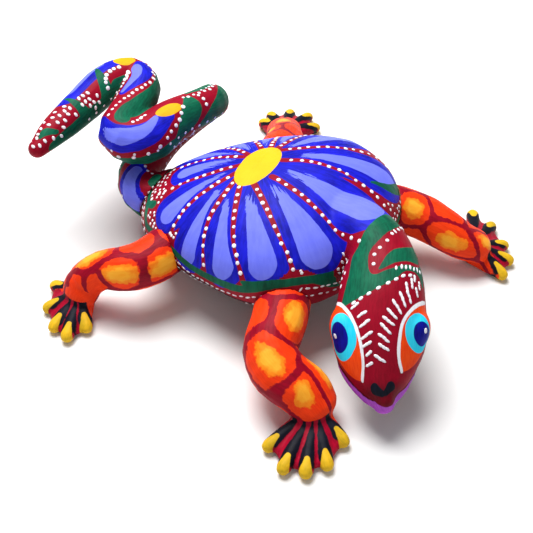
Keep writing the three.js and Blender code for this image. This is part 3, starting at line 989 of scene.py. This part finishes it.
LASHES = [  # along, out from the middle line, length; one list for each side of the face
    (-1, [(54.4, 8.8, 2.3), (56.8, 5.6, 2.6), (59.6, 4.7, 3.0), (62.9, 4.2, 3.1), (65.8, 4.3, 2.5),
          (69, 3.8, 1.8), (72.6, 3.7, 1.9)]),
    (1, [(46.4, 12.4, 2.4), (48.6, 15.2, 2.2), (48.2, 10.4, 2.6), (50.6, 11.4, 2.8), (51.6, 8.8, 3.4),
         (53.9, 7.0, 3.4), (56.1, 5.4, 3.2), (58.6, 4.1, 3.2), (61, 3.0, 3.2), (63.8, 2.2, 3.0),
         (67, 2.1, 2.8), (70.8, 0.6, 3.0), (46, 16.6, 1.8), (44.6, 13.6, 1.6)]),
]
for side_, lashes in LASHES:
    for along, out, long in lashes:
        lean = (232 if side_ > 0 else 240) - max(0, 55 - along) * 4.5  # they fan out behind the eye
        across = side_ * out - (1.7 if side_ > 0 else 1.1)
        dash(on_face, clay, along, across, long * 1.45, 0.55, lean * side_)
for side_ in (-1, 1):
    on_face.mark(clay, 61.6 - side_, side_ * 19.4 + FACE_MIDDLE, 1.0, 0.75, lean=0, tall=0.15)
dots_piece("body_dots", "body", clay)

# %% Dots on the tail
clay = Clay()
on_tail = Dotter(tail_skin, round_tail, tail_map[:, 2] > 2)
FLANK = 13.5  # how far round the side the long rows lie
for line, gap, long in [
        ([(124, 12), (119, 15.8), (113.5, 14.6), (108, 11.2), (99.1, 7.6), (93.3, 3)], 3.0, 0.85),
        ([(122, 16.6), (118.6, 17.6)], 2.4, 0.75),
        ([(123, 3.6), (130, 1.6), (138, -1.2), (146, -5), (152, -6)], 2.3, 0.76),
        ([(118, 0.6), (112, -1.8), (106, -3)], 2.4, 0.7),
        ([(138, 9.5), (131, 10.5), (125, 9.5)], 2.6, 0.75),
        ([(134, 6.8), (143, 7.2), (151, 5.6), (156, 3.2)], 2.4, 0.65),
        ([(155.4, -4.6), (151, -6.6), (146, -6.2)], 1.8, 0.62),
        ([(162.6, 2.6), (166, 2.6), (169.5, 3.2), (172, 5.2), (173, 8)], 1.9, 0.85),
        ([(160, 5.6), (161.6, 8), (164.5, 10.4)], 2.0, 0.85)]:
    row(on_tail, clay, line, gap, long)
for along, around in [
        (181.8, 9.4), (179.4, 8.8), (185.8, 4.6), (180.6, 3), (182.8, 2.2), (184.8, 2), (182, 5),
        (184, 4.6), (181.2, 7), (178.6, 6.2), (183.4, 7), (191, 0), (192.6, 1.4), (190.4, 2.2),
        (192.8, 3.2), (190.6, 5.4), (194.8, -1.6), (195.2, 1.2), (195.4, 4), (197.4, -0.6),
        (197.8, 2.4), (197.6, 5.4), (200.2, -2.6), (200.4, 0.4), (203, -1.6), (205.4, -1.2),
        (207, -0.4), (208.6, 2.4), (209, -2.6), (210.4, 0.4), (200, 7), (203, 5), (206, 3)]:
    on_tail.mark(clay, along, around, 0.95, 0.62, lean=dice.uniform(60, 120))
for line, gap, long in [
        ([(92, -0.6), (86, 0.4), (80, 0.8), (72, 0), (66, -1)], 2.3, 0.7),
        ([(85, 0.4), (84.6, 4), (85, 8)], 2.4, 0.7),
        ([(83, -0.8), (76, -0.6), (70, -1.4)], 2.0, 0.55)]:
    row(on_tail, clay, line, gap, long)
for _ in range(16):  # a loose scatter under the lower bend
    on_tail.mark(clay, dice.uniform(88, 106), dice.uniform(15, 21), 0.5)
for lane in (0, 2.1, 4.2):
    near_root = [(8 + lane * 0.4, 4.6 + lane), (10.2 + lane * 0.4, 4.4 + lane), (13, 2.4 + lane)]
    row(on_tail, clay, near_root, 2.1, 0.6)
row(on_tail, clay, [(9, -5), (16, -4), (24, -3), (34, -3), (46, -4), (58, -5)], 3.2, 0.65)
row(on_tail, clay, [(24, 8), (34, 9), (46, 9), (58, 8), (68, 9)], 3.2, 0.65)
for side_ in (-1, 1):
    flank = [(12, 13 * side_), (70, FLANK * side_), (140, FLANK * side_), (190, 11 * side_)]
    row(on_tail, clay, flank, 4.2, 0.6)
dots_piece("tail_dots", "tail", clay)

# %% [markdown]
# ## The pegs
# Pulled apart, the figure shows whittled pegs of bare, pale wood. Rings of grain are
# a noise stretched along one direction, and darker flecks and a soft bump keep the
# wood from looking like plastic.

# %% Bare whittled wood
r = Recipe("bare_wood")
place = r.place()
rings = r.noise(r.stretched(place, (1.0, 1.0, 7.0)), 260.0, 4.0, 0.6)
fleck = r.noise(r.stretched(place, (1.0, 5.0, 1.0)), 1400.0, 3.0, 0.7)
tone = r.step(rings, 0.35, 0.68) * 0.75 + r.step(fleck, 0.55, 0.8) * 0.25
wood = r.finish(r.blend(tone, tint(222, 184, 132), tint(176, 130, 82)), 0.62 + fleck * 0.15,
                rings * 0.6 + fleck * 0.4, 0.00012)
for name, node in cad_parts.items():
    if name.endswith("_peg"):
        node.data.materials.clear()
        node.data.materials.append(wood)
print("pegs finished")

# %% [markdown]
# ## The floor
# A sheet of pale board lies under the feet. It is a stage, not part of the figure.

# %% Pale floor
ground = bmesh.new()
bmesh.ops.create_grid(ground, x_segments=2, y_segments=2, size=2.5)
board = bpy.data.meshes.new("floor")
ground.to_mesh(board)
ground.free()
floor = bpy.data.objects.new("floor", board)
floor.location = (0, 0, -0.0002)
scene.collection.objects.link(floor)
r = Recipe("pale_board")
fibre = r.noise(r.place(), 35.0, 3.0, 0.6)
paper = r.blend(fibre, (0.86, 0.87, 0.88, 1), (0.9, 0.9, 0.9, 1))
board.materials.append(r.finish(paper, 0.85 + fibre * 0.05, fibre, 0.00005))
